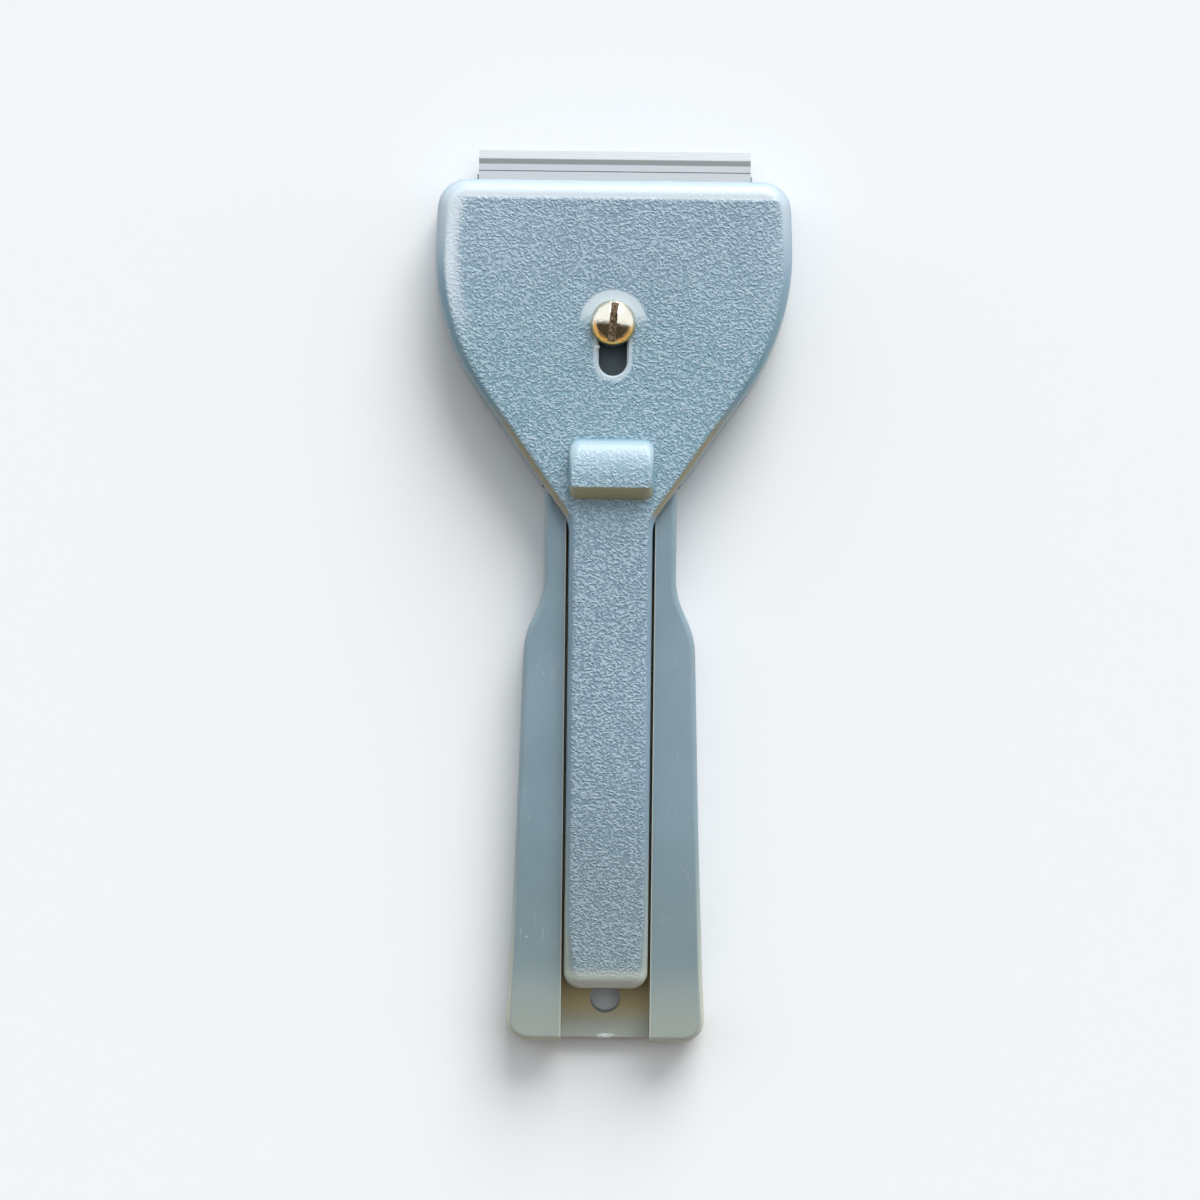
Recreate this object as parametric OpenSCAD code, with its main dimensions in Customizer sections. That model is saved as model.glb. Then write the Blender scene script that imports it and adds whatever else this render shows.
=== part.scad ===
// Ceramic hob scraper: a moulded base carries the blade, and a moulded cover slides over it.
// The underside lies on z = 0, +Y points to the blade, and the origin is halfway along the length.

/* [Overall] */
// Length from the end of the handle to the blade's edge
overall_length = 140.3; // [130:0.1:160]
// Height of the moulded body, without the thumb rest and the screw head
body_height = 11; // [10:0.25:13]
// How far the cover slides forward to guard the blade
cover_travel = 6; // [5.5:0.25:7]

/* [Head of the cover] */
// Width across the widest part of the head
head_width = 56.2; // [52:0.2:66]
// Distance from the front of the cover back to its widest part
shoulder_setback = 11.7; // [10:0.1:16]
// Radius of the two front corners
front_corner_r = 4.9; // [3.5:0.1:7]
// Radius of the bulging sides
side_r = 36.7; // [30:0.1:42]
// Angle at which the sides draw in towards the neck
taper_angle = 35; // [30:0.5:40]
// Radius of the hollow where the head runs into the tongue
neck_r = 5; // [3:0.5:7]
// Thickness of the top, the skirts and the tongue's walls
cover_wall = 1.8; // [1.4:0.1:2.2]
// Radius of the top edge round the front of the head
head_edge_r = 2.5; // [1.5:0.1:3]
// Radius of the top edge at the neck
neck_edge_r = 1.4; // [1:0.1:2]

/* [Tongue and thumb rest] */
// Width of the tongue that runs down the handle
tongue_width = 13.5; // [11:0.1:15]
// Distance from the end of the handle to the end of the tongue
tongue_setback = 8.4; // [7.5:0.1:12]
// Radius of the tongue's end corners
tongue_corner_r = 2.8; // [2.7:0.1:4]
// Radius of the tongue's top edges along its sides
tongue_edge_r = 1.2; // [0.8:0.1:1.6]
// Radius of the tongue's top edge at its end
tongue_end_edge_r = 2.4; // [1.5:0.1:2.4]
// Width of the thumb rest
rest_width = 13.4; // [10:0.1:14]
// Length of the thumb rest
rest_length = 9.4; // [8:0.1:12]
// Height of the thumb rest above the cover
rest_height = 3; // [2:0.1:4]
// Distance from the start of the neck to the rear foot of the thumb rest
rest_setback = 5.2; // [3:0.1:8]

/* [Handle base] */
// Width of the neck between the head and the grip
neck_width = 21; // [19.5:0.1:24]
// Width where the grip begins
grip_width = 27.3; // [25:0.1:30]
// Width at the end of the handle
handle_end_width = 31.4; // [28:0.1:34]
// Radius of the handle's end corners
handle_corner_r = 3.6; // [2:0.1:5]
// Height of the two rails beside the tongue
rail_height = 8.5; // [7.5:0.1:8.8]
// Thickness of the floor of the channel and of the plate under the blade
floor_height = 3; // [2.5:0.1:3.5]
// Distance from the front of the cover back to the front of the rails
rail_setback = 45.5; // [44:0.5:48]
// Distance from the front of the cover back to where the neck begins to widen
flare_setback = 62; // [60:0.5:66]
// Length over which the neck widens into the grip
flare_length = 12; // [9:0.5:16]
// Radius of the top outer edge of the rails
rail_edge_r = 1; // [0.6:0.1:1.5]
// Walls left round the hollows under the grip
core_wall = 1.8; // [1.4:0.1:2]
// Number of hollows under each side of the grip
core_count = 4; // [3:1:5]
// Radius of the hanging hole
hole_r = 2.4; // [1.8:0.1:3]
// Distance from the end of the handle to the middle of the hanging hole
hole_setback = 6.3; // [5.5:0.1:8]

/* [Blade] */
// Width of the blade
blade_width = 43; // [38:0.5:44]
// Depth of the blade from its front edge to its back edge
blade_depth = 22; // [18:0.5:24]
// Thickness of the blade
blade_thickness = 0.3; // [0.2:0.05:0.4]
// Depth of the ground bevels
bevel_depth = 1.4; // [0.8:0.1:2]
// How far the blade reaches out in front of the cover
blade_reach = 5.3; // [4:0.1:5.4]
// Radius of the two pegs that hold the blade
peg_r = 1.5; // [1:0.1:2]
// Distance between the two pegs
peg_spacing = 28; // [24:0.5:32]

/* [Screw and nut] */
// Diameter of the screw's shank
screw_d = 4; // [3:0.5:4]
// Length of the screw's shank
screw_length = 10; // [9:0.5:10.5]
// Diameter of the domed head
screw_head_d = 7; // [6:0.1:8]
// Height of the domed head
screw_head_h = 2.6; // [2:0.1:3]
// Width of the tool slot in the head
tool_slot_w = 1.15; // [0.8:0.05:1.4]
// Angle at which the tool slot stands
tool_slot_angle = -5; // [-90:1:90]
// Distance between opposite flats of the nut
nut_flats = 7; // [6:0.1:7]
// Thickness of the nut
nut_height = 3.2; // [2.4:0.1:3.2]

/* [Clearances] */
// Gap between the cover and the base at their sides and under the cover
slide_gap = 0.3; // [0.2:0.05:0.4]
// Gap between the tongue's sides and the channel
tongue_gap = 0.2; // [0.15:0.05:0.5]
// Gap between the blade and what lies over or behind it
blade_gap = 0.2; // [0.1:0.05:0.3]
// Gap between the nut's boss and the back edge of the blade
boss_gap = 0.6; // [0.3:0.1:2]
// Gap between the pegs and the holes in the blade
peg_gap = 0.15; // [0.05:0.05:0.3]
// Gap at the faces that the screw clamps
clamp_gap = 0.1; // [0.05:0.05:0.15]
// Gap between the screw's shank and the sides of the cover's slot
slot_gap = 0.2; // [0.1:0.05:0.4]
// Gap between the screw's shank and the hole through the base
bore_gap = 0.15; // [0.1:0.05:0.3]
// Gap between the screw's shank and the nut
thread_gap = 0.05; // [0.02:0.01:0.1]
// Gap between the nut and the sides of its pocket
nut_gap = 0.05; // [0.02:0.01:0.1]

/* [Hidden] */
$fn = 64;
plastic = [0.57, 0.67, 0.73];
steel = [0.72, 0.74, 0.75];
nickel = [0.80, 0.76, 0.62];

// Ends along Y
handle_end_y = -overall_length / 2;
edge_y = overall_length / 2;
front_y = edge_y - blade_reach;
blade_back_y = edge_y - blade_depth;
tongue_end_y = handle_end_y + tongue_setback;
hole_y = handle_end_y + hole_setback;
rail_front_y = front_y - rail_setback;
flare_top_y = front_y - flare_setback;
flare_foot_y = flare_top_y - flare_length;

// Moulding habits shared by both plastic pieces
draft = 1.5;
overcut = 1;
seat_overlap = 0.4;
corner_steps = 8;
side_steps = 12;
round_steps = 5;
rest_steps = 8;

// Cover: outline
tongue_half = tongue_width / 2;
shoulder_flare = 2.5;
tongue_fade = 8;
side_centre = [head_width / 2 - side_r, front_y - shoulder_setback];
taper_top = side_centre + side_r * [cos(taper_angle), -sin(taper_angle)];
neck_centre_x = tongue_half + neck_r;
taper_foot_x = neck_centre_x - neck_r * cos(taper_angle);
taper_foot_y = taper_top[1] - (taper_top[0] - taper_foot_x) / tan(taper_angle);
neck_y = taper_foot_y - neck_r * sin(taper_angle);
shoulder_out = [cos(shoulder_flare), sin(shoulder_flare)];
corner_y = front_y - front_corner_r;
corner_x = (side_centre * shoulder_out + side_r - front_corner_r - corner_y * shoulder_out[1])
    / shoulder_out[0];
rest_y = neck_y + rest_setback;

// Cover: inside
cover_ceiling = rail_height + slide_gap;
skirt_bottom = 0.4;
rib_w = 1.2;
rib_bottom = floor_height + blade_thickness + blade_gap;
inner_rib_x = tongue_half + rib_w / 2;
outer_rib_x = 19;
outer_rib_length = 26.5;
keel_bottom = floor_height + slide_gap;
keel_reach = 4;
keel_front_y = rail_front_y + keel_reach;
rib_setback = 2.5;
rib_back_y = rail_front_y + rib_setback;
mouth_margin = 0.5;
mouth_half = blade_width / 2 + mouth_margin;
tongue_rib_spacing = 12;
tongue_rib_rise = 1;
slot_half = screw_d / 2 + slot_gap;
slot_chamfer = 0.3;

// Base: plate, channel and boss
neck_half = neck_width / 2;
channel_half = tongue_half + tongue_gap;
base_foot = 0.3;
lip_margin = 0.25;
lip_half = blade_width / 2 + lip_margin;
lip_reach = 1.5;
lip_root = 2;
nose_length = 14;
nose_edge = 1.1;
nut_pocket_h = body_height - screw_length + nut_height;
nut_pocket_flats = nut_flats + 2 * nut_gap;
boss_wall = 1.3;
boss_r = nut_pocket_flats / 2 / cos(30) + boss_wall;
boss_roof = 1.2;
boss_h = nut_pocket_h + boss_roof;
post_wall = 1.4;
post_r = screw_d / 2 + post_wall;
post_top = cover_ceiling - clamp_gap;
screw_y = blade_back_y - boss_gap - boss_r;
screw_bore_r = screw_d / 2 + bore_gap;
peg_y = blade_back_y + blade_depth / 2;
peg_rise = 0.9;
peg_height = blade_thickness + peg_rise;

// A point of an outline is [x, y, radius of the top edge there].
function on_circle(centre, r, a) = centre + r * [cos(a), sin(a)];
function arc(centre, r, from, to, edge_from, edge_to, n = corner_steps) =
    [for (i = [0:n]) let (t = i / n)
        concat(on_circle(centre, r, from + t * (to - from)), edge_from + t * (edge_to - edge_from))];
function curve(a, b, c, d, edge, n) =
    [for (i = [1:n]) let (t = i / n, s = 1 - t)
        concat(s * s * s * a + 3 * s * s * t * b + 3 * s * t * t * c + t * t * t * d, edge)];

// The right half of an outline runs forward, from the end of its rear edge to the end of its front edge.
function whole(half) = concat(half, [for (i = [len(half) - 1:-1:0]) [-half[i][0], half[i][1], half[i][2]]]);
function outward(outline, i) =
    let (n = len(outline), along = outline[(i + 1) % n] - outline[(i + n - 1) % n])
    [along[1], -along[0]] / norm([along[0], along[1]]);
function inset(outline, distance) =
    [for (i = [0:len(outline) - 1]) [outline[i][0], outline[i][1]] - distance * outward(outline, i)];

cover_outline = whole(concat(
    arc([tongue_half - tongue_corner_r, tongue_end_y + tongue_corner_r], tongue_corner_r,
        -90, 0, tongue_end_edge_r, tongue_end_edge_r),
    [[tongue_half, tongue_end_y + tongue_corner_r + tongue_fade, tongue_edge_r]],
    arc([neck_centre_x, neck_y], neck_r, 180, 180 - taper_angle, tongue_edge_r, neck_edge_r),
    arc(side_centre, side_r, -taper_angle, shoulder_flare, neck_edge_r, head_edge_r, side_steps),
    arc([corner_x, corner_y], front_corner_r, shoulder_flare, 90, head_edge_r, head_edge_r)
));

handle_corner = [handle_end_width / 2 - handle_corner_r, handle_end_y + handle_corner_r];
handle_flare = 3;
grip_length = flare_foot_y - handle_corner[1];
grip_foot = on_circle(handle_corner, handle_corner_r, handle_flare);
grip_foot_pull = grip_length * [-0.01, 0.15];
grip_top = [grip_width / 2, flare_foot_y];
grip_top_pull = grip_length * [0.01, -0.4];
flare_top = [neck_half, flare_top_y];
flare_foot_pull = flare_length * [-0.02, 0.46];
flare_top_pull = flare_length * [0, -0.46];
rail_corner_margin = 0.6;
rail_corner_r = rail_edge_r + rail_corner_margin;
handle_outline = whole(concat(
    arc(handle_corner, handle_corner_r, -90, handle_flare, rail_edge_r, rail_edge_r),
    curve(grip_foot, grip_foot + grip_foot_pull, grip_top + grip_top_pull, grip_top,
        rail_edge_r, corner_steps),
    curve(grip_top, grip_top + flare_foot_pull, flare_top + flare_top_pull, flare_top,
        rail_edge_r, side_steps),
    arc([neck_half - rail_corner_r, rail_front_y - rail_corner_r], rail_corner_r, 0, 90,
        rail_edge_r, rail_edge_r)
));

// Closed body through rings of points, each ring anticlockwise seen from above, the lowest first.
// The ends are closed in strips between each point and its mirror image.
module skin(rings) {
    n = len(rings[0]);
    top = n * (len(rings) - 1);
    sides = [for (a = [0:n:top - n], i = [0:n - 1])
        let (j = (i + 1) % n)
        each [[a + i, a + n + i, a + n + j], [a + i, a + n + j, a + j]]];
    bottom = [for (i = [0:n / 2 - 2]) each [[i, i + 1, n - 2 - i], [i, n - 2 - i, n - 1 - i]]];
    lid = [for (f = bottom) [top + f[2], top + f[1], top + f[0]]];
    polyhedron([for (ring = rings) each ring], concat(bottom, sides, lid), convexity = 8);
}

function ring_at(outline, insets, heights) =
    [for (i = [0:len(outline) - 1])
        let (p = [outline[i][0], outline[i][1]] - insets[i] * outward(outline, i))
        [p[0], p[1], heights[i]]];

// Moulded block: drafted sides from bottom to top, and a top edge rounded by each point's own radius
module rounded_block(outline, bottom, top, foot = 0) {
    edges = [for (p = outline) p[2]];
    lean = [for (e = edges) (top - e - bottom) * tan(draft)];
    foot_rings = foot == 0 ? [] : [ring_at(outline, [for (e = edges) foot], [for (e = edges) bottom])];
    round_rings = [for (k = [0:round_steps]) let (a = 90 * k / round_steps)
        ring_at(outline, [for (i = [0:len(edges) - 1]) lean[i] + edges[i] * (1 - cos(a))],
            [for (e = edges) top - e * (1 - sin(a))])];
    skin(concat(foot_rings, [ring_at(outline, [for (e = edges) 0], [for (e = edges) bottom + foot])],
        round_rings));
}

module prism(points, bottom, top) {
    translate([0, 0, bottom]) linear_extrude(top - bottom) polygon(points);
}

module block(low, high) {
    translate(low) cube(high - low);
}

module on_both_sides() {
    children();
    mirror([1, 0, 0]) children();
}

// Slanted cut under the nose, so that the blade meets the glass at a low angle
module nose_cut() {
    slope = (floor_height - nose_edge) / nose_length;
    past = cover_travel + overcut;
    side_profile = [
        [edge_y - nose_length - past, -slope * past],
        [edge_y + past, floor_height - nose_edge + slope * past],
        [edge_y + past, -overcut - slope * past],
        [edge_y - nose_length - past, -overcut - slope * past],
    ];
    translate([-head_width, 0, 0]) rotate([90, 0, 90]) linear_extrude(2 * head_width) polygon(side_profile);
}

module handle_base() {
    color(plastic) difference() {
        union() {
            difference() {
                rounded_block(handle_outline, 0, rail_height, foot = base_foot);
                block([-channel_half, handle_end_y - overcut, floor_height],
                    [channel_half, rail_front_y + overcut, rail_height + overcut]);
            }
            blade_plate();
            screw_boss();
            blade_pegs();
        }
        nose_cut();
        grip_cores();
        translate([0, hole_y, -overcut]) cylinder(r = hole_r, h = floor_height + 2 * overcut);
        translate([0, screw_y, nut_pocket_h - overcut]) cylinder(r = screw_bore_r, h = body_height);
        translate([0, screw_y, -overcut]) hex(nut_pocket_flats, nut_pocket_h + overcut);
    }
}

// Plate under the blade: it fills the cover's inside both at rest and with the cover forward.
module blade_plate() {
    inside = inset(cover_outline, cover_wall + slide_gap);
    intersection() {
        prism(inside, 0, floor_height);
        translate([0, cover_travel, 0]) prism(inside, -overcut, floor_height + overcut);
        block([-head_width, rail_front_y - overcut, -overcut], [head_width, edge_y, body_height]);
    }
    block([-neck_half, rail_front_y - overcut, 0], [neck_half, screw_y, floor_height]);
    block([-lip_half, front_y - cover_wall - lip_root, 0], [lip_half, front_y + lip_reach, floor_height]);
}

// Long boss round the nut, which closes the view through the cover's slot, and the post that the cover
// is clamped down on
module screw_boss() {
    for (y = [screw_y - cover_travel, screw_y])
        translate([0, y, 0]) cylinder(r = boss_r, h = boss_h);
    block([-boss_r, screw_y - cover_travel, 0], [boss_r, screw_y, boss_h]);
    translate([0, screw_y, 0]) cylinder(r = post_r, h = post_top);
}

module blade_pegs() {
    on_both_sides() translate([peg_spacing / 2, peg_y, floor_height - seat_overlap])
        cylinder(r = peg_r, h = peg_height + seat_overlap);
}

// Hollows under the grip, divided by cross ribs
module grip_cores() {
    inside = inset(handle_outline, core_wall);
    first_y = handle_end_y + handle_corner_r;
    pitch = (flare_foot_y - first_y) / core_count;
    for (k = [0:core_count - 1])
        on_both_sides() intersection() {
            prism(inside, -overcut, rail_height - core_wall);
            block([channel_half + core_wall, first_y + k * pitch, -2 * overcut],
                [handle_end_width, first_y + (k + 1) * pitch - rib_w, body_height]);
        }
}

module slide_cover() {
    color(plastic) difference() {
        union() {
            difference() {
                rounded_block(cover_outline, skirt_bottom, body_height);
                prism(inset(cover_outline, cover_wall), -overcut, cover_ceiling);
            }
            thumb_rest();
            cover_ribs();
        }
        block([-neck_half - slide_gap, tongue_end_y - overcut, -overcut],
            [neck_half + slide_gap, keel_front_y + overcut, keel_bottom]);
        on_both_sides() block([tongue_half + tongue_gap - slide_gap, neck_y - overcut, -overcut],
            [neck_half + slide_gap, rib_back_y, cover_ceiling]);
        block([-mouth_half, front_y - cover_wall - overcut, -overcut],
            [mouth_half, front_y + overcut, rib_bottom]);
        nose_cut();
        screw_slot();
    }
}

// Ribs that hold the blade down, keels that run on from the tongue's walls, and ribs across the tongue
module cover_ribs() {
    top = cover_ceiling + seat_overlap;
    front = front_y - cover_wall + seat_overlap;
    keel_x = tongue_half - cover_wall;
    keel_out = tongue_half - body_height * tan(draft);
    outer_back_y = front_y - cover_wall - outer_rib_length;
    on_both_sides() {
        block([inner_rib_x - rib_w / 2, rib_back_y, rib_bottom], [inner_rib_x + rib_w / 2, front, top]);
        block([outer_rib_x - rib_w / 2, outer_back_y, rib_bottom], [outer_rib_x + rib_w / 2, front, top]);
        block([keel_x, neck_y - overcut, keel_bottom], [keel_out, keel_front_y, top]);
    }
    rib_ys = [for (y = tongue_end_y + tongue_rib_spacing; y < rail_front_y; y = y + tongue_rib_spacing) y];
    for (y = rib_ys)
        block([-keel_x - seat_overlap, y - rib_w / 2, keel_bottom + tongue_rib_rise],
            [keel_x + seat_overlap, y + rib_w / 2, top]);
}

// Slot for the screw, with a small chamfer round its top edge
module screw_slot() {
    block([-slot_half, screw_y - cover_travel, cover_ceiling - overcut],
        [slot_half, screw_y, body_height + overcut]);
    bevel_profile = [
        [-slot_half, body_height - slot_chamfer],
        [slot_half, body_height - slot_chamfer],
        [slot_half + 2 * slot_chamfer, body_height + slot_chamfer],
        [-slot_half - 2 * slot_chamfer, body_height + slot_chamfer],
    ];
    translate([0, screw_y, 0]) rotate([90, 0, 0]) linear_extrude(cover_travel) polygon(bevel_profile);
    for (y = [screw_y - cover_travel, screw_y]) {
        translate([0, y, cover_ceiling - overcut]) cylinder(r = slot_half, h = cover_travel);
        translate([0, y, body_height - slot_chamfer])
            cylinder(r1 = slot_half, r2 = slot_half + 2 * slot_chamfer, h = 2 * slot_chamfer);
    }
}

// Thumb rest: a steep rear face to push on, with a sharp crest, and a top that rounds down to the front
module thumb_rest() {
    corner_r = 1.8;
    crest_corner_r = 0.3;
    sunk = 0.5;
    rear_lean = 1.5;
    rear_round = 0.3;
    crest_depth = 0.8;
    side_lean = 0.15;
    side_round = 0.45;
    front_round = rest_length - rear_lean - rear_round - crest_depth;
    rings = [for (k = [0:rest_steps])
        let (
            rise = sin(90 * k / rest_steps),
            round = 1 - cos(90 * k / rest_steps),
            back = rest_y + rear_lean * rise + rear_round * round,
            front = rest_y + rest_length - front_round * round,
            half = rest_width / 2 - side_lean * rise - side_round * round,
            r = corner_r + (crest_corner_r - corner_r) * round
        )
        thumb_ring(back, front, half, r, body_height + rest_height * rise)];
    skin(concat([[for (p = rings[0]) [p[0], p[1], body_height - sunk]]], rings));
}

function thumb_ring(back, front, half, r, z) = whole(concat(
    arc([half - r, back + r], r, -90, 0, z, z, rest_steps),
    arc([half - r, front - r], r, 0, 90, z, z, rest_steps)
));

module blade() {
    low = floor_height;
    mid = low + blade_thickness / 2;
    high = low + blade_thickness;
    keen = 0.02;
    side_profile = [
        [blade_back_y, mid - keen],
        [blade_back_y + bevel_depth, low],
        [edge_y - bevel_depth, low],
        [edge_y, mid - keen],
        [edge_y, mid + keen],
        [edge_y - bevel_depth, high],
        [blade_back_y + bevel_depth, high],
        [blade_back_y, mid + keen],
    ];
    color(steel) difference() {
        translate([-blade_width / 2, 0, 0]) rotate([90, 0, 90])
            linear_extrude(blade_width) polygon(side_profile);
        on_both_sides() translate([peg_spacing / 2, peg_y, low - overcut])
            cylinder(r = peg_r + peg_gap, h = 3 * overcut);
    }
}

// Slotted screw with a domed head, tightened down on the cover
module clamp_screw() {
    rim = 0.8;
    head_r = screw_head_d / 2;
    rise = screw_head_h - rim;
    dome_r = (head_r * head_r + rise * rise) / (2 * rise);
    dome_angle = asin(head_r / dome_r);
    seat = body_height + clamp_gap;
    tip = body_height - screw_length;
    tip_chamfer = 0.5;
    head_chamfer = 0.2;
    tool_slot_depth = 1.3;
    dome_steps = 12;
    dome = [for (i = [0:dome_steps]) let (a = dome_angle * (1 - i / dome_steps))
        [dome_r * sin(a), seat + screw_head_h - dome_r * (1 - cos(a))]];
    shank_r = screw_d / 2;
    profile = concat(
        [[0, tip], [shank_r - tip_chamfer, tip], [shank_r, tip + tip_chamfer], [shank_r, seat],
            [head_r - head_chamfer, seat], [head_r, seat + head_chamfer]],
        dome
    );
    color(nickel) translate([0, screw_y, 0]) rotate([0, 0, tool_slot_angle]) difference() {
        rotate_extrude() polygon(profile);
        block([-tool_slot_w / 2, -screw_head_d, seat + screw_head_h - tool_slot_depth],
            [tool_slot_w / 2, screw_head_d, seat + 2 * screw_head_h]);
    }
}

// Nut in its hexagonal pocket, with two of its flats facing the sides
module hex_nut() {
    top = nut_pocket_h;
    nut_corner_r = nut_flats / 2 / cos(30);
    chamfer = (nut_corner_r - nut_flats / 2) * tan(30);
    color(steel) translate([0, screw_y, top - nut_height]) difference() {
        intersection() {
            hex(nut_flats, nut_height);
            rotate_extrude() polygon([
                [0, 0],
                [nut_flats / 2, 0],
                [nut_corner_r, chamfer],
                [nut_corner_r, nut_height - chamfer],
                [nut_flats / 2, nut_height],
                [0, nut_height],
            ]);
        }
        translate([0, 0, -overcut]) cylinder(r = screw_d / 2 + thread_gap, h = nut_height + 2 * overcut);
    }
}

module hex(flats, h) {
    rotate([0, 0, 30]) cylinder(r = flats / 2 / cos(30), h = h, $fn = 6);
}

handle_base();
slide_cover();
blade();
clamp_screw();
hex_nut();
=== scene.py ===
import math

import bmesh
import bpy
from mathutils import Matrix, Vector, noise


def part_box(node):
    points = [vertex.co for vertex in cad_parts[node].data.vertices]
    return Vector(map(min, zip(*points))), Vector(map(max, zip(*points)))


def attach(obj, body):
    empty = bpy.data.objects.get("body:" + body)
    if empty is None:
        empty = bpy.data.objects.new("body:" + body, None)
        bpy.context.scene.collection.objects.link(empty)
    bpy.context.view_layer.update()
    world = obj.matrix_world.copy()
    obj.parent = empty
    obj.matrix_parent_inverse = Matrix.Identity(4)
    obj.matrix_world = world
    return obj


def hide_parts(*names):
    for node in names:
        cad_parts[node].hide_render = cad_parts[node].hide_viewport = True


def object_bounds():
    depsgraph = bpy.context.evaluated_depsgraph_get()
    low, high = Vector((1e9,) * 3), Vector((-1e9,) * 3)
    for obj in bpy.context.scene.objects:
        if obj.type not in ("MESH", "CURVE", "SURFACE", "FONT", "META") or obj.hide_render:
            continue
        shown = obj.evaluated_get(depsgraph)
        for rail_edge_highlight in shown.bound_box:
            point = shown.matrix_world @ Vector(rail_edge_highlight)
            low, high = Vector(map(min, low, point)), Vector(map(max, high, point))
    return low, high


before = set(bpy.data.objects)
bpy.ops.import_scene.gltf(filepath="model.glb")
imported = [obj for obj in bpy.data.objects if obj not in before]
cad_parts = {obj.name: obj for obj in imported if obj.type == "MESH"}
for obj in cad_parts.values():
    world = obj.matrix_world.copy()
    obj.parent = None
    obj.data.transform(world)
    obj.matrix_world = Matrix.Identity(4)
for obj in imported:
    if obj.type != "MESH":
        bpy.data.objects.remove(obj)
cad_low, cad_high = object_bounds()
MM = 0.001


# Handle base
# The lower moulding, shot in one piece from blue-grey polypropylene in a polished mould, so its faces are
# smooth and satin. It is the seat of the blade and the nut, and its two rails guide the cover's tongue.
def moulded_copy(node, name, edge_width):
    """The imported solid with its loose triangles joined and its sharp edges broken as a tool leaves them."""
    same_point = 0.001 * MM
    same_plane = math.radians(0.3)
    sharp_edge = math.radians(38)
    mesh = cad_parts[node].data.copy()
    mesh.name = name
    mesh.materials.clear()
    shape = bmesh.new()
    shape.from_mesh(mesh)
    bmesh.ops.remove_doubles(shape, verts=shape.verts, dist=same_point)
    bmesh.ops.dissolve_limit(shape, angle_limit=same_plane, verts=shape.verts, edges=shape.edges)
    for face in shape.faces:
        face.smooth = True
    shape.to_mesh(mesh)
    shape.free()
    piece = bpy.data.objects.new(name, mesh)
    bpy.context.scene.collection.objects.link(piece)
    bevel = piece.modifiers.new("broken edges", "BEVEL")
    bevel.width = edge_width
    bevel.segments = 3
    bevel.limit_method = "ANGLE"
    bevel.angle_limit = sharp_edge
    bevel.use_clamp_overlap = True
    bevel.miter_outer = "MITER_ARC"
    flat = piece.modifiers.new("flat faces shaded flat", "WEIGHTED_NORMAL")
    flat.mode = "FACE_AREA"
    flat.weight = 50
    make_plain(piece)
    return piece


def make_plain(piece):
    """Bakes the modifiers of a piece into its mesh."""
    bpy.context.view_layer.update()
    seen = piece.evaluated_get(bpy.context.evaluated_depsgraph_get())
    plain = bpy.data.meshes.new_from_object(seen)
    piece.modifiers.clear()
    piece.data = plain


def add_node(tree, kind, settings=None, **inputs):
    """Adds a node, with its settings, and sets or links each named input."""
    made = tree.nodes.new(kind)
    for key, value in (settings or {}).items():
        setattr(made, key, value)
    for key, value in inputs.items():
        join_to(tree, value, made.inputs[key.replace("_", " ")])
    return made


def join_to(tree, value, socket):
    """Links a value to a socket if it comes from a node, or else sets it."""
    if isinstance(value, bpy.types.NodeSocket):
        tree.links.new(value, socket)
    else:
        socket.default_value = value


def calculate(tree, operation, *values):
    made = tree.nodes.new("ShaderNodeMath")
    made.operation = operation
    for value, socket in zip(values, made.inputs):
        join_to(tree, value, socket)
    return made.outputs[0]


def product(tree, first, *others):
    for other in others:
        first = calculate(tree, "MULTIPLY", first, other)
    return first


def largest(tree, first, *others):
    for other in others:
        first = calculate(tree, "MAXIMUM", first, other)
    return first


def rest_of(tree, mask):
    return calculate(tree, "SUBTRACT", 1.0, mask)


def ramp(tree, value, low, high, to_low=0.0, to_high=1.0):
    """Smooth step of a value from low to high."""
    made = add_node(tree, "ShaderNodeMapRange", {"interpolation_type": "SMOOTHSTEP"}, Value=value,
                    From_Min=low, From_Max=high, To_Min=to_low, To_Max=to_high)
    return made.outputs["Result"]


def fade(tree, value, low, high, strength=1.0):
    """Smooth step down, from the strength at low to nothing at high."""
    return ramp(tree, value, low, high, strength, 0.0)


def object_place(tree):
    return add_node(tree, "ShaderNodeTexCoord").outputs["Object"]


def object_normal(tree):
    return add_node(tree, "ShaderNodeTexCoord").outputs["Normal"]


def components(tree, vector):
    return add_node(tree, "ShaderNodeSeparateXYZ", Vector=vector).outputs


def noise_pattern(tree, place, scale, detail, **more):
    """Noise at a place. The scale counts its waves in a metre."""
    made = add_node(tree, "ShaderNodeTexNoise", Vector=place, Scale=scale, Detail=detail, **more)
    return made.outputs["Fac"]


def mix_colours(tree, factor, first, second, blend="MIX"):
    made = tree.nodes.new("ShaderNodeMix")
    made.data_type = "RGBA"
    made.blend_type = blend
    join_to(tree, factor, made.inputs[0])
    join_to(tree, first, made.inputs[6])
    join_to(tree, second, made.inputs[7])
    return made.outputs[2]


def roughen(tree, shader, height, strength, depth):
    """Bumps the shader's surface by a height pattern."""
    bumps = add_node(tree, "ShaderNodeBump", Strength=strength, Distance=depth, Height=height)
    join_to(tree, bumps.outputs["Normal"], shader.inputs["Normal"])


def new_group(name, inputs, outputs):
    """An empty shader node group with float inputs, given with their defaults, and float outputs."""
    group = bpy.data.node_groups.new(name, "ShaderNodeTree")
    for label, default in inputs.items():
        socket = group.interface.new_socket(label, in_out="INPUT", socket_type="NodeSocketFloat")
        socket.default_value = default
    for label in outputs:
        group.interface.new_socket(label, in_out="OUTPUT", socket_type="NodeSocketFloat")
    return group, group.nodes.new("NodeGroupInput").outputs, group.nodes.new("NodeGroupOutput").inputs


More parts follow.
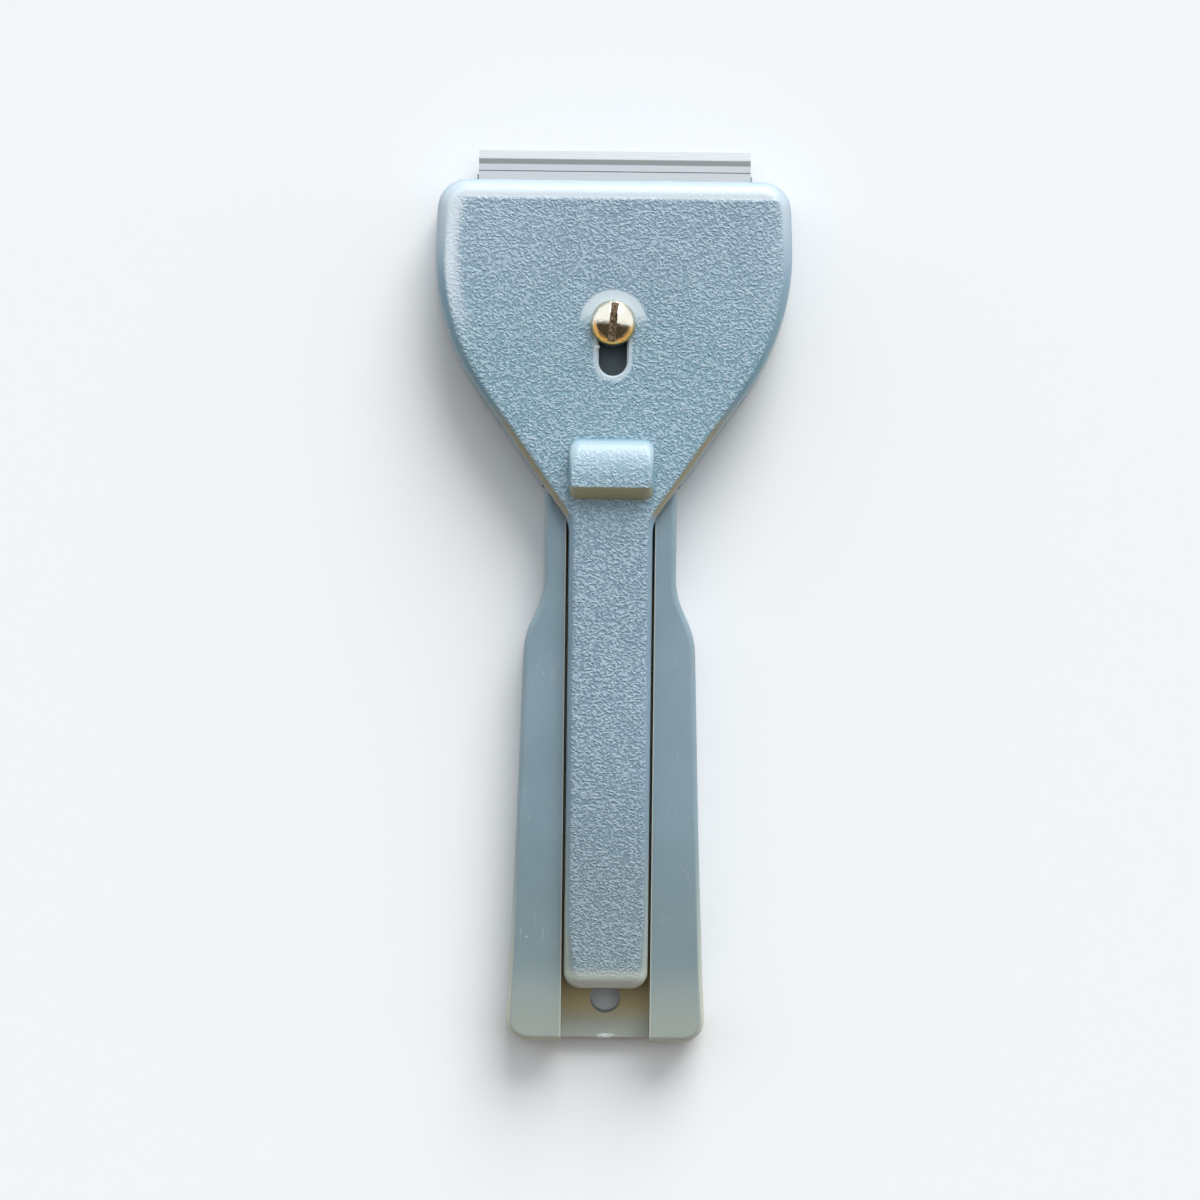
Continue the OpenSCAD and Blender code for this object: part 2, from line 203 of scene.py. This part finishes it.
def place_group(tree, group, **inputs):
    made = tree.nodes.new("ShaderNodeGroup")
    made.node_tree = group
    for key, value in inputs.items():
        join_to(tree, value, made.inputs[key.replace("_", " ")])
    return made.outputs


def new_material(name):
    material = bpy.data.materials.new(name)
    material.use_nodes = True
    tree = material.node_tree
    return material, tree, tree.nodes["Principled BSDF"]


def new_plastic(name):
    """A material that light enters a little way, as it does in both mouldings."""
    material, tree, shader = new_material(name)
    shader.inputs["Subsurface Weight"].default_value = 0.15
    shader.inputs["Subsurface Radius"].default_value = (0.8, 1.0, 1.0)
    shader.inputs["Subsurface Scale"].default_value = 0.6 * MM
    return material, tree, shader


# Handling marks that both mouldings share: cloudy sheen, fine scuffs across the grip and stray pale specks
marks, given, out = new_group(
    "handling marks",
    {"Cloud Scale": 90.0, "Scuff Amount": 0.5, "Speck Amount": 0.5},
    ["Cloud", "Scuff", "Speck"],
)
place = object_place(marks)
join_to(marks, noise_pattern(marks, place, given["Cloud Scale"], 4.0, Roughness=0.6), out["Cloud"])
stretched = add_node(marks, "ShaderNodeMapping", Vector=place, Rotation=(0, 0, math.radians(24)),
                     Scale=(5000, 260, 2000)).outputs["Vector"]
streak = ramp(marks, noise_pattern(marks, stretched, 1.0, 2.0), 0.63, 0.72)
patch = ramp(marks, noise_pattern(marks, place, 160.0, 2.0), 0.52, 0.66)
join_to(marks, product(marks, streak, patch, given["Scuff Amount"]), out["Scuff"])
speck = add_node(marks, "ShaderNodeTexVoronoi", Vector=place, Scale=330.0, Randomness=1.0)
dot = fade(marks, speck.outputs["Distance"], 0.035, 0.07)
lucky = add_node(marks, "ShaderNodeSeparateColor", Color=speck.outputs["Color"]).outputs[0]
one_in_ten = ramp(marks, lucky, 0.86, 0.9)
join_to(marks, product(marks, dot, one_in_ten, given["Speck Amount"]), out["Speck"])

# Both mouldings are painted a little yellower towards the end of the handle, a painted warm cast of light
# from that side
warm_cast_to_end, given, out = new_group("painted warm cast", {"From": -30 * MM, "To": -68 * MM}, ["Mask"])
along = components(warm_cast_to_end, object_place(warm_cast_to_end))["Y"]
join_to(warm_cast_to_end, fade(warm_cast_to_end, along, given["To"], given["From"]), out["Mask"])

base_plastic, tree, shader = new_plastic("satin blue-grey polypropylene")
spot = components(tree, object_place(tree))
upward = components(tree, object_normal(tree))["Z"]
shades = place_group(tree, marks, Cloud_Scale=70.0, Scuff_Amount=0.35, Speck_Amount=0.6)
body_colour = mix_colours(tree, ramp(tree, shades["Cloud"], 0.3, 0.7),
                          (0.205, 0.285, 0.325, 1), (0.235, 0.32, 0.365, 1))
# Towards the end of the handle the base takes the painted warm cast
yellower = product(tree, place_group(tree, warm_cast_to_end)["Mask"], 0.8)
body_colour = mix_colours(tree, yellower, body_colour, (0.245, 0.305, 0.305, 1))

# The rails are darker along the grip and creamy at their end, where the painted warm cast is strongest
darker = product(tree, fade(tree, spot["Y"], -41 * MM, -33 * MM),
                  ramp(tree, spot["Y"], -63 * MM, -57 * MM))
body_colour = mix_colours(tree, darker, body_colour, (0.88, 0.9, 0.89, 1), "MULTIPLY")
creamy = product(tree, place_group(tree, warm_cast_to_end, From=-56 * MM)["Mask"], 0.8)
body_colour = mix_colours(tree, creamy, body_colour, (0.34, 0.37, 0.315, 1))
# Their rounded edges get a painted cream highlight
rail_edge_highlight = product(tree, ramp(tree, upward, 0.1, 0.3), fade(tree, upward, 0.8, 0.98), yellower)
body_colour = mix_colours(tree, rail_edge_highlight, body_colour, (0.5, 0.52, 0.43, 1))

# The channel's floor is painted brown under the tongue, a painted warm shadow, and pale at the open end, a
# painted light
channel_half = 6.95 * MM
channel_floor = 3 * MM
floor_front = 12 * MM
from_middle = calculate(tree, "ABSOLUTE", spot["X"])
on_floor = product(
    tree,
    fade(tree, from_middle, channel_half - 0.1 * MM, channel_half),
    fade(tree, spot["Z"], channel_floor, channel_floor + 0.4 * MM),
    ramp(tree, upward, 0.5, 0.9),
    fade(tree, spot["Y"], floor_front - 2 * MM, floor_front),
    0.85,
)
further_in = ramp(tree, spot["Y"], cad_low.y + 1 * MM, cad_low.y + 6 * MM)
floor_light_and_shadow = mix_colours(tree, further_in, (0.5, 0.53, 0.46, 1), (0.6, 0.47, 0.22, 1))
body_colour = mix_colours(tree, on_floor, body_colour, floor_light_and_shadow)

# The rims of the channel are paler than the rails, a painted highlight along their edges
rail_top = 8.5 * MM
rail_front = 20 * MM
from_rim = calculate(tree, "ABSOLUTE", calculate(tree, "SUBTRACT", from_middle, channel_half))
rim_highlight = product(
    tree,
    fade(tree, from_rim, 0.1 * MM, 0.25 * MM),
    fade(tree, spot["Y"], rail_front - 1 * MM, rail_front),
    ramp(tree, spot["Z"], rail_top - 0.3 * MM, rail_top - 0.1 * MM),
    0.6,
)
body_colour = mix_colours(tree, rim_highlight, body_colour, (0.55, 0.56, 0.47, 1))
body_colour = mix_colours(tree, largest(tree, shades["Scuff"], shades["Speck"]),
                          body_colour, (0.62, 0.68, 0.7, 1))
join_to(tree, body_colour, shader.inputs["Base Color"])
join_to(tree, ramp(tree, shades["Cloud"], 0.3, 0.7, 0.32, 0.46), shader.inputs["Roughness"])
roughen(tree, shader, noise_pattern(tree, object_place(tree), 900.0, 3.0), 0.12, 0.02 * MM)

torn_plastic, tree, shader = new_material("torn white polypropylene")
fibres = noise_pattern(tree, object_place(tree), 4000.0, 3.0)
join_to(tree, mix_colours(tree, fibres, (0.6, 0.64, 0.62, 1), (0.9, 0.92, 0.9, 1)),
        shader.inputs["Base Color"])
shader.inputs["Roughness"].default_value = 0.7

handle_base = moulded_copy("handle_base", "handle_base_moulding", 0.15 * MM)
handle_base.data.materials.append(base_plastic)
handle_base.data.materials.append(torn_plastic)


def add_torn_bit(piece, middle, size):
    """Joins a ragged bit of plastic to a moulding, in its second material."""
    bit = bmesh.new()
    bmesh.ops.create_icosphere(bit, subdivisions=4, radius=1.0)
    for vertex in bit.verts:
        coarse_tear = 0.45 * noise.noise(vertex.co * 2.2)
        fine_tear = 0.25 * noise.noise(vertex.co * 7)
        vertex.co = vertex.co * (1 + coarse_tear + fine_tear) * size + middle
    for face in bit.faces:
        face.material_index = 1
        face.smooth = True
    bit.from_mesh(piece.data)
    bit.to_mesh(piece.data)
    bit.free()


# A white stub stands at the end of the channel's floor, as a torn sprue leaves it
stub_place = Vector((-0.1 * MM, cad_low.y + 0.28 * MM, channel_floor))
add_torn_bit(handle_base, stub_place, Vector((1.35, 0.34, 0.3)) * MM)
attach(handle_base, "base")
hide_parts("handle_base")


# Nut
# A zinc-plated steel M4 nut, dropped into the hexagonal pocket under the base before the screw is driven.
# The pocket keeps it from turning. Its plating is dull and mottled.
zinc, tree, shader = new_material("zinc plate")
mottle = noise_pattern(tree, object_place(tree), 1400.0, 4.0)
join_to(tree, mix_colours(tree, mottle, (0.42, 0.44, 0.46, 1), (0.66, 0.67, 0.68, 1)),
        shader.inputs["Base Color"])
join_to(tree, ramp(tree, mottle, 0.3, 0.7, 0.28, 0.45), shader.inputs["Roughness"])
shader.inputs["Metallic"].default_value = 1.0

hex_nut = moulded_copy("hex_nut", "hex_nut_plated", 0.08 * MM)
hex_nut.data.materials.append(zinc)
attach(hex_nut, "base")
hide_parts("hex_nut")


# Blade
# Hardened strip steel, 0.3 mm thick, with both long edges ground to a bevel. Its two holes drop over the
# pegs of the base, and the ribs of the cover hold it down.
blade_steel, tree, shader = new_material("ground strip steel")
place = object_place(tree)
lines = add_node(tree, "ShaderNodeMapping", Vector=place, Scale=(160, 14000, 4000)).outputs["Vector"]
rolled = noise_pattern(tree, lines, 1.0, 3.0)
steel_colour = mix_colours(tree, rolled, (0.6, 0.615, 0.62, 1), (0.7, 0.715, 0.72, 1))

# From the edge back: the ground bevel, a dark band and a thin dark line
ground_width = 1.2 * MM
dark_to = 2.25 * MM
thin_line_at = 3.25 * MM
from_edge = calculate(tree, "SUBTRACT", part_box("blade")[1].y, components(tree, place)["Y"])
ground = fade(tree, from_edge, ground_width - 0.1 * MM, ground_width + 0.1 * MM)
steel_colour = mix_colours(tree, ground, steel_colour, (0.66, 0.67, 0.67, 1))
dark_band = product(tree, ramp(tree, from_edge, ground_width, ground_width + 0.2 * MM),
                   fade(tree, from_edge, dark_to - 0.15 * MM, dark_to))
steel_colour = mix_colours(tree, dark_band, steel_colour, (0.32, 0.325, 0.31, 1))
off_line = calculate(tree, "ABSOLUTE", calculate(tree, "SUBTRACT", from_edge, thin_line_at))
thin_line = fade(tree, off_line, 0.04 * MM, 0.1 * MM)
steel_colour = mix_colours(tree, thin_line, steel_colour, (0.12, 0.12, 0.12, 1))
join_to(tree, steel_colour, shader.inputs["Base Color"])
join_to(tree, ramp(tree, rolled, 0.3, 0.7, 0.25, 0.4), shader.inputs["Roughness"])
shader.inputs["Metallic"].default_value = 1.0
roughen(tree, shader, rolled, 0.2, 0.006 * MM)

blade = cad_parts["blade"]
blade.data.materials.clear()
blade.data.materials.append(blade_steel)


# Slide cover
# The upper moulding, of the same plastic, with a fine etched grain over its top. It slides on the pad of the
# base, its tongue runs between the rails, and pushing the thumb rest moves it.
grain, given, out = new_group("etched grain", {"Scale": 1800.0, "Line Width": 0.28}, ["Height"])
place = object_place(grain)
worms = noise_pattern(grain, place, given["Scale"], 0.0, Distortion=0.5)
off_line = calculate(grain, "ABSOLUTE", calculate(grain, "SUBTRACT", worms, 0.5))
broken = noise_pattern(grain, place, product(grain, given["Scale"], 1.1), 0.0)
join_to(grain, product(grain, fade(grain, off_line, 0.0, given["Line Width"]),
                       ramp(grain, broken, 0.36, 0.54, 0.25, 1.0)), out["Height"])


def distance_from(tree, x, y, centre_y):
    """How far a point lies from a centre. The x is already taken from it."""
    off = calculate(tree, "SUBTRACT", y, centre_y)
    return calculate(tree, "SQRT", calculate(tree, "ADD", product(tree, x, x), product(tree, off, off)))


# The grain is missing round the slot, most of all in front of the screw's head
# Round the screw these places get a painted reflection
smooth, given, out = new_group("bare places with painted highlights", {"Slot Margin": 1.1 * MM, "Head Margin": 2.0 * MM},
                              ["Slot", "Margin", "Edge", "Thumb"])
screw_low, screw_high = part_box("clamp_screw")
screw_y = (screw_low.y + screw_high.y) / 2
head_r = (screw_high.x - screw_low.x) / 2
slot_half = 2.2 * MM
cover_travel = 6 * MM
soft_edge = 0.5 * MM
spot = components(smooth, object_place(smooth))
nearest = add_node(smooth, "ShaderNodeClamp", Value=spot["Y"], Min=screw_y - cover_travel, Max=screw_y)
from_slot = distance_from(smooth, spot["X"], spot["Y"], nearest.outputs[0])
from_screw = distance_from(smooth, spot["X"], spot["Y"], screw_y)
slot_band = calculate(smooth, "ADD", given["Slot Margin"], slot_half)
head_band = calculate(smooth, "ADD", given["Head Margin"], head_r)
past_slot_band = calculate(smooth, "SUBTRACT", from_slot, slot_band)
past_head_band = calculate(smooth, "SUBTRACT", from_screw, head_band)
by_slot = fade(smooth, past_slot_band, -soft_edge, 0.0, 0.8)
by_head = product(smooth, fade(smooth, past_head_band, -soft_edge, 0.0),
                  ramp(smooth, spot["Y"], screw_y - 1 * MM, screw_y + 2 * MM))
join_to(smooth, largest(smooth, by_slot, by_head), out["Slot"])

# It is also missing along the front margin and, more on the left, beside the rounded sides of the head
# These bands and the rounded front edge get a painted highlight
cover_low, cover_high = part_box("slide_cover")
side_r = 36.7 * MM
side_centre_x = cover_high.x - side_r
side_centre_y = cover_high.y - 11.7 * MM
margin_width = 3.7 * MM
side_x = calculate(smooth, "SUBTRACT", calculate(smooth, "ABSOLUTE", spot["X"]), side_centre_x)
from_side = calculate(smooth, "SUBTRACT", side_r, distance_from(smooth, side_x, spot["Y"], side_centre_y))
from_front = calculate(smooth, "SUBTRACT", cover_high.y, spot["Y"])
by_side = product(smooth, fade(smooth, from_side, 2.6 * MM, 4.8 * MM, 0.85),
                  fade(smooth, from_front, 12 * MM, 28 * MM),
                  ramp(smooth, spot["X"], -10 * MM, 10 * MM, 1.0, 0.08))
by_front = fade(smooth, from_front, margin_width - 0.6 * MM, margin_width)
join_to(smooth, largest(smooth, by_front, by_side), out["Margin"])
join_to(smooth, fade(smooth, from_front, 2 * MM, 18 * MM, 0.9), out["Edge"])

# It thins out over the front of the thumb rest
# The front of the rest gets a painted highlight
cover_top = 11 * MM
rest_front = 24.1 * MM
by_thumb = product(smooth, ramp(smooth, spot["Z"], cover_top + 0.3 * MM, cover_top + 1.4 * MM),
                   ramp(smooth, spot["Y"], rest_front - 6.5 * MM, rest_front - 1 * MM, 0.05, 0.5))
join_to(smooth, by_thumb, out["Thumb"])

cover_plastic, tree, shader = new_plastic("grained blue-grey polypropylene")
spot = components(tree, object_place(tree))
turned_to = components(tree, object_normal(tree))
along = spot["Y"]
facing = turned_to["Z"]
shades = place_group(tree, marks, Cloud_Scale=45.0, Scuff_Amount=0.2, Speck_Amount=0.3)

# The grain stands on all that faces up, but for the smooth places and the end of the tongue
places = place_group(tree, smooth)
flat = ramp(tree, facing, 0.9, 0.985)
margin = calculate(tree, "ADD", product(tree, places["Margin"], flat),
                   product(tree, places["Edge"], rest_of(tree, flat)))
margin = product(tree, margin, ramp(tree, facing, 0.1, 0.9, 0.0, 0.9))
bare_and_highlit = largest(tree, places["Slot"], places["Thumb"], margin)
bare_end = fade(tree, along, cover_low.y + 2 * MM, cover_low.y + 4.2 * MM, 0.85)
kept = product(tree, ramp(tree, facing, 0.84, 0.985), rest_of(tree, bare_and_highlit), rest_of(tree, bare_end))
pattern = product(tree, place_group(tree, grain)["Height"], kept)

# The head is palest towards the blade and greenest where it narrows
body_colour = mix_colours(tree, ramp(tree, shades["Cloud"], 0.3, 0.7),
                          (0.175, 0.262, 0.33, 1), (0.212, 0.31, 0.386, 1))
pale_front = ramp(tree, along, 34 * MM, 60 * MM)
body_colour = mix_colours(tree, pale_front, body_colour, (1.16, 1.14, 1.14, 1), "MULTIPLY")
green_neck = product(tree, ramp(tree, along, 0 * MM, 24 * MM), fade(tree, along, 34 * MM, 58 * MM))
body_colour = mix_colours(tree, green_neck, body_colour, (0.9, 1.06, 1.03, 1), "MULTIPLY")

# The tongue is yellower than the head, a painted warm cast, with a painted cream highlight on its rounded
# edges, and darker towards its end. The ridges of the grain are painted paler than the ground between them,
# a painted highlight on their crests.
yellower = place_group(tree, warm_cast_to_end)["Mask"]
body_colour = mix_colours(tree, product(tree, yellower, 0.7), body_colour, (0.235, 0.3, 0.295, 1))
tongue_edge_highlight = product(tree, fade(tree, facing, 0.55, 0.985, 0.85), yellower)
body_colour = mix_colours(tree, tongue_edge_highlight, body_colour, (0.58, 0.605, 0.49, 1))
body_colour = mix_colours(tree, product(tree, pattern, 0.55), body_colour, (0.525, 0.63, 0.695, 1))
darker = fade(tree, along, -45 * MM, -15 * MM, 0.31)
body_colour = mix_colours(tree, darker, body_colour, (0.12, 0.17, 0.18, 1))

# The end of the tongue is pale, and the smooth places get a painted highlight, the front margin most of all
body_colour = mix_colours(tree, bare_end, body_colour, (0.48, 0.52, 0.46, 1))
body_colour = mix_colours(tree, product(tree, bare_and_highlit, 0.8), body_colour, (0.64, 0.71, 0.74, 1))
margin_highlight = product(tree, margin, ramp(tree, facing, 0.9, 0.99, 0.0, 0.5))
body_colour = mix_colours(tree, margin_highlight, body_colour, (0.84, 0.89, 0.92, 1))

# What is turned towards the handle, away from the light, gets a painted warm shade: brown at the edges of the
# neck and olive at the rear of the rest
never_zero = 0.001
slope = calculate(tree, "SQRT", calculate(tree, "SUBTRACT", 1 + never_zero, product(tree, facing, facing)))
backward = calculate(tree, "DIVIDE", turned_to["Y"], slope)
back_shade = product(
    tree,
    fade(tree, backward, -0.6, -0.3, 0.85),
    fade(tree, facing, 0.85, 0.98),
    ramp(tree, facing, 0.1, 0.3),
    ramp(tree, along, 2 * MM, 8 * MM),
    fade(tree, along, 24 * MM, 31 * MM),
)
on_rest = ramp(tree, spot["Z"], cover_top - 0.2 * MM, cover_top)
back_shade_colour = mix_colours(tree, on_rest, (0.33, 0.28, 0.17, 1), (0.46, 0.44, 0.26, 1))
body_colour = mix_colours(tree, back_shade, body_colour, back_shade_colour)
body_colour = mix_colours(tree, largest(tree, shades["Scuff"], shades["Speck"]),
                          body_colour, (0.66, 0.72, 0.74, 1))
join_to(tree, body_colour, shader.inputs["Base Color"])
join_to(tree, ramp(tree, kept, 0.0, 1.0, 0.28, 0.4), shader.inputs["Roughness"])
roughen(tree, shader, pattern, 1.0, 0.11 * MM)

slide_cover = moulded_copy("slide_cover", "slide_cover_moulding", 0.15 * MM)
slide_cover.data.materials.append(cover_plastic)
slide_cover.data.materials.append(torn_plastic)

# A white flake stands at the left edge of the slot
flake_place = Vector((-slot_half - 0.3 * MM, screw_y - 3.8 * MM, cover_top - 0.02 * MM))
add_torn_bit(slide_cover, flake_place, Vector((0.42, 0.3, 0.07)) * MM)
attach(slide_cover, "cover")
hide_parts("slide_cover")


# Clamp screw
# A slotted M4 machine screw with a domed head, turned from brass and plated with bright nickel. It is driven
# through the cover's slot into the nut and clamps the cover where it stands.
nickel, tree, shader = new_material("bright nickel over brass")
place = object_place(tree)
smudge = noise_pattern(tree, place, 700.0, 4.0)
plated = mix_colours(tree, smudge, (0.92, 0.87, 0.76, 1), (0.84, 0.76, 0.58, 1))
turned_to = components(tree, object_normal(tree))
# The side of the dome turned towards the handle is painted gold, a painted warm reflection
warm_reflection = product(tree, fade(tree, turned_to["Z"], 0.66, 0.82),
                        fade(tree, turned_to["Y"], -0.45, 0.2))
join_to(tree, mix_colours(tree, warm_reflection, plated, (0.86, 0.55, 0.17, 1)), shader.inputs["Base Color"])
join_to(tree, ramp(tree, smudge, 0.35, 0.65, 0.06, 0.16), shader.inputs["Roughness"])
shader.inputs["Metallic"].default_value = 1.0
roughen(tree, shader, noise_pattern(tree, place, 1600.0, 2.0), 1.0, 0.04 * MM)

slot_shade_brass, tree, shader = new_material("painted slot shade")
torn = noise_pattern(tree, object_place(tree), 3200.0, 3.0)
join_to(tree, mix_colours(tree, ramp(tree, torn, 0.35, 0.65), (0.08, 0.05, 0.03, 1), (0.32, 0.23, 0.14, 1)),
        shader.inputs["Base Color"])
shader.inputs["Metallic"].default_value = 0.8
shader.inputs["Roughness"].default_value = 0.5
roughen(tree, shader, torn, 0.8, 0.05 * MM)

clamp_screw = moulded_copy("clamp_screw", "clamp_screw_plated", 0.08 * MM)
clamp_screw.data.materials.append(nickel)
clamp_screw.data.materials.append(slot_shade_brass)
screw_axis = (screw_low + screw_high) / 2
head_underside = cover_high.z - 2.9 * MM

# The walls and the floor of the slot for the screwdriver are dark and rough, a painted shade in the recess
tool_slot_half = 0.62 * MM
tool_slot_floor = screw_high.z - 1.25 * MM
tool_slot_turn = Matrix.Rotation(math.radians(5), 3, "Z")
for face in clamp_screw.data.polygons:
    from_axis = tool_slot_turn @ (face.center - screw_axis)
    faces_in = abs((tool_slot_turn @ face.normal).x) > 0.9 or face.normal.z > 0.99
    if abs(from_axis.x) < tool_slot_half and face.center.z > head_underside and faces_in:
        if abs(from_axis.x) > tool_slot_half - 0.1 * MM or face.center.z < tool_slot_floor:
            face.material_index = 1

# The rolled M4 thread is a ridge swept along a helix. It stands on the shank, thinned to the root radius.
thread_pitch = 0.7 * MM
thread_length = 8.9 * MM
thread_root_r = 1.6 * MM
shank_r = 2.0 * MM
for vertex in clamp_screw.data.vertices:
    if vertex.co.z < head_underside:
        away = Vector((vertex.co.x - screw_axis.x, vertex.co.y - screw_axis.y))
        if away.length > thread_root_r:
            away *= thread_root_r / away.length
            vertex.co.x = screw_axis.x + away.x
            vertex.co.y = screw_axis.y + away.y


def thread_group():
    """Geometry node group that adds a helical ridge of the given sizes to a screw."""
    sharp_edge = math.radians(40)
    sunk_at_ends = -0.3
    group = bpy.data.node_groups.new("rolled thread", "GeometryNodeTree")
    group.interface.new_socket("Screw", in_out="INPUT", socket_type="NodeSocketGeometry")
    for label in ("Pitch", "Length", "Root Radius", "Crest Radius", "Foot Width", "Crest Width"):
        group.interface.new_socket(label, in_out="INPUT", socket_type="NodeSocketFloat")
    group.interface.new_socket("Start", in_out="INPUT", socket_type="NodeSocketVector")
    group.interface.new_socket("Plating", in_out="INPUT", socket_type="NodeSocketMaterial")
    group.interface.new_socket("Threaded Screw", in_out="OUTPUT", socket_type="NodeSocketGeometry")
    given = group.nodes.new("NodeGroupInput").outputs

    # The helix runs at half the ridge's depth, and its first and last half turn sink into the shank
    turns = calculate(group, "DIVIDE", given["Length"], given["Pitch"])
    depth = calculate(group, "SUBTRACT", given["Crest Radius"], given["Root Radius"])
    middle_r = calculate(group, "ADD", given["Root Radius"], product(group, depth, 0.5))
    helix = add_node(group, "GeometryNodeCurveSpiral", Resolution=28, Rotations=turns,
                     Start_Radius=middle_r, End_Radius=middle_r, Height=given["Length"],
                     Reverse=True).outputs["Curve"]
    runout = add_node(group, "GeometryNodeSplineParameter").outputs["Factor"]
    to_end = calculate(group, "MINIMUM", runout, rest_of(group, runout))
    sink = ramp(group, product(group, to_end, turns), 0.0, 0.5, sunk_at_ends, 0.0)
    outward = add_node(group, "ShaderNodeVectorMath", {"operation": "MULTIPLY"})
    join_to(group, add_node(group, "GeometryNodeInputPosition").outputs[0], outward.inputs[0])
    outward.inputs[1].default_value = (1, 1, 0)
    offset = add_node(group, "ShaderNodeVectorMath", {"operation": "SCALE"}, Scale=sink)
    join_to(group, outward.outputs[0], offset.inputs[0])
    helix = add_node(group, "GeometryNodeSetPosition", Geometry=helix, Offset=offset.outputs[0]).outputs[0]
    helix = add_node(group, "GeometryNodeSetCurveNormal", {"mode": "Z_UP"}, Curve=helix).outputs[0]

    # The ridge's section is a trapezoid with its narrow side out
    flank = add_node(group, "GeometryNodeCurvePrimitiveQuadrilateral", {"mode": "TRAPEZOID"},
                     Bottom_Width=given["Foot Width"], Top_Width=given["Crest Width"], Offset=0.0,
                     Height=depth).outputs[0]
    flank = add_node(group, "GeometryNodeTransform", Geometry=flank,
                     Rotation=(0, 0, math.radians(-90))).outputs[0]
    ridge = add_node(group, "GeometryNodeCurveToMesh", Curve=helix, Profile_Curve=flank,
                     Fill_Caps=True).outputs[0]
    bend = add_node(group, "GeometryNodeInputMeshEdgeAngle").outputs["Unsigned Angle"]
    ridge = add_node(group, "GeometryNodeSetShadeSmooth", {"domain": "EDGE"}, Geometry=ridge,
                     Selection=calculate(group, "GREATER_THAN", bend, sharp_edge),
                     Shade_Smooth=False).outputs[0]
    ridge = add_node(group, "GeometryNodeTransform", Geometry=ridge, Translation=given["Start"]).outputs[0]
    ridge = add_node(group, "GeometryNodeRealizeInstances", Geometry=ridge).outputs[0]
    ridge = add_node(group, "GeometryNodeSetMaterial", Geometry=ridge, Material=given["Plating"]).outputs[0]
    both = group.nodes.new("GeometryNodeJoinGeometry")
    join_to(group, ridge, both.inputs[0])
    join_to(group, given["Screw"], both.inputs[0])
    join_to(group, both.outputs[0], group.nodes.new("NodeGroupOutput").inputs[0])
    return group


def set_inputs(modifier, **values):
    """Sets a modifier's named inputs by the identifiers of their sockets."""
    for item in modifier.node_group.interface.items_tree:
        key = item.name.replace(" ", "_")
        if item.in_out == "INPUT" and key in values:
            modifier[item.identifier] = values[key]


thread = clamp_screw.modifiers.new("rolled thread", "NODES")
thread.node_group = thread_group()
set_inputs(thread, Pitch=thread_pitch, Length=thread_length, Root_Radius=thread_root_r - 0.03 * MM,
           Crest_Radius=shank_r, Foot_Width=0.6 * MM, Crest_Width=0.09 * MM,
           Start=(screw_axis.x, screw_axis.y, screw_low.z + 0.3 * MM), Plating=nickel)
make_plain(clamp_screw)
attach(clamp_screw, "screw")
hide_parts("clamp_screw")


# Table and light
# A pale matt table top under one broad soft light that comes from past the blade, a little to the right.
# The surround is pale on that side and dim and warm on the side of the handle.
table_top, tree, shader = new_material("matt pale table")
shader.inputs["Base Color"].default_value = (0.88, 0.88, 0.87, 1)
shader.inputs["Roughness"].default_value = 0.9
table_size = 24.0
under_part = 0.02 * MM
shape = bmesh.new()
bmesh.ops.create_grid(shape, x_segments=1, y_segments=1, size=table_size / 2)
table_mesh = bpy.data.meshes.new("table")
shape.to_mesh(table_mesh)
shape.free()
table_mesh.materials.append(table_top)
table = bpy.data.objects.new("table", table_mesh)
table.location = (0, 0, cad_low.z - under_part)
bpy.context.scene.collection.objects.link(table)

key_direction = Vector((0.28, 0.95, 0.55))
key = bpy.data.lights.new("window", "SUN")
key.energy = 2.9
key.angle = math.radians(40)
key.color = (0.98, 0.99, 1.0)
key_stand = bpy.data.objects.new("window", key)
key_stand.rotation_euler = key_direction.to_track_quat("Z", "Y").to_euler()
bpy.context.scene.collection.objects.link(key_stand)

world = bpy.data.worlds.new("surround")
bpy.context.scene.world = world
world.use_nodes = True
tree = world.node_tree
way = components(tree, add_node(tree, "ShaderNodeTexCoord").outputs["Generated"])
ahead = calculate(tree, "ADD", way["Y"], product(tree, way["X"], 0.12))
low_down = fade(tree, way["Z"], 0.1, 0.36)
behind = mix_colours(tree, low_down, (0.07, 0.055, 0.04, 1), (0.75, 0.52, 0.27, 1))
surround = mix_colours(tree, ramp(tree, ahead, -0.18, 0.18), behind, (1.05, 1.13, 1.22, 1))
join_to(tree, surround, tree.nodes["Background"].inputs["Color"])


# Camera
# The camera looks straight down, as it did for the photograph, from 400 mm over the tops of the rails, and
# is rolled by less than a degree. At the rails, a millimetre is 6.4 pixels of the photograph.
photo_width = 1200
photo_scale = 6.4 / MM
camera_height = 400 * MM
middle_in_photo = Vector((610.0, 594.4))
roll = 0.01168
sensor_width = 36.0
view_width = photo_width / photo_scale
aside = (middle_in_photo - Vector((photo_width / 2, photo_width / 2))) / photo_scale
aside.y = -aside.y
camera = bpy.data.cameras.new("camera")
camera.sensor_width = sensor_width
camera.lens = sensor_width * camera_height / view_width
camera_stand = bpy.data.objects.new("camera", camera)
aside = Matrix.Rotation(roll, 3, "Z") @ Vector((aside.x, aside.y, 0))
camera_stand.location = (-aside.x, -aside.y, rail_top + camera_height)
camera_stand.rotation_euler = (0, 0, roll)
bpy.context.scene.collection.objects.link(camera_stand)
bpy.context.scene.camera = camera_stand
bpy.context.scene.view_settings.view_transform = "Standard"
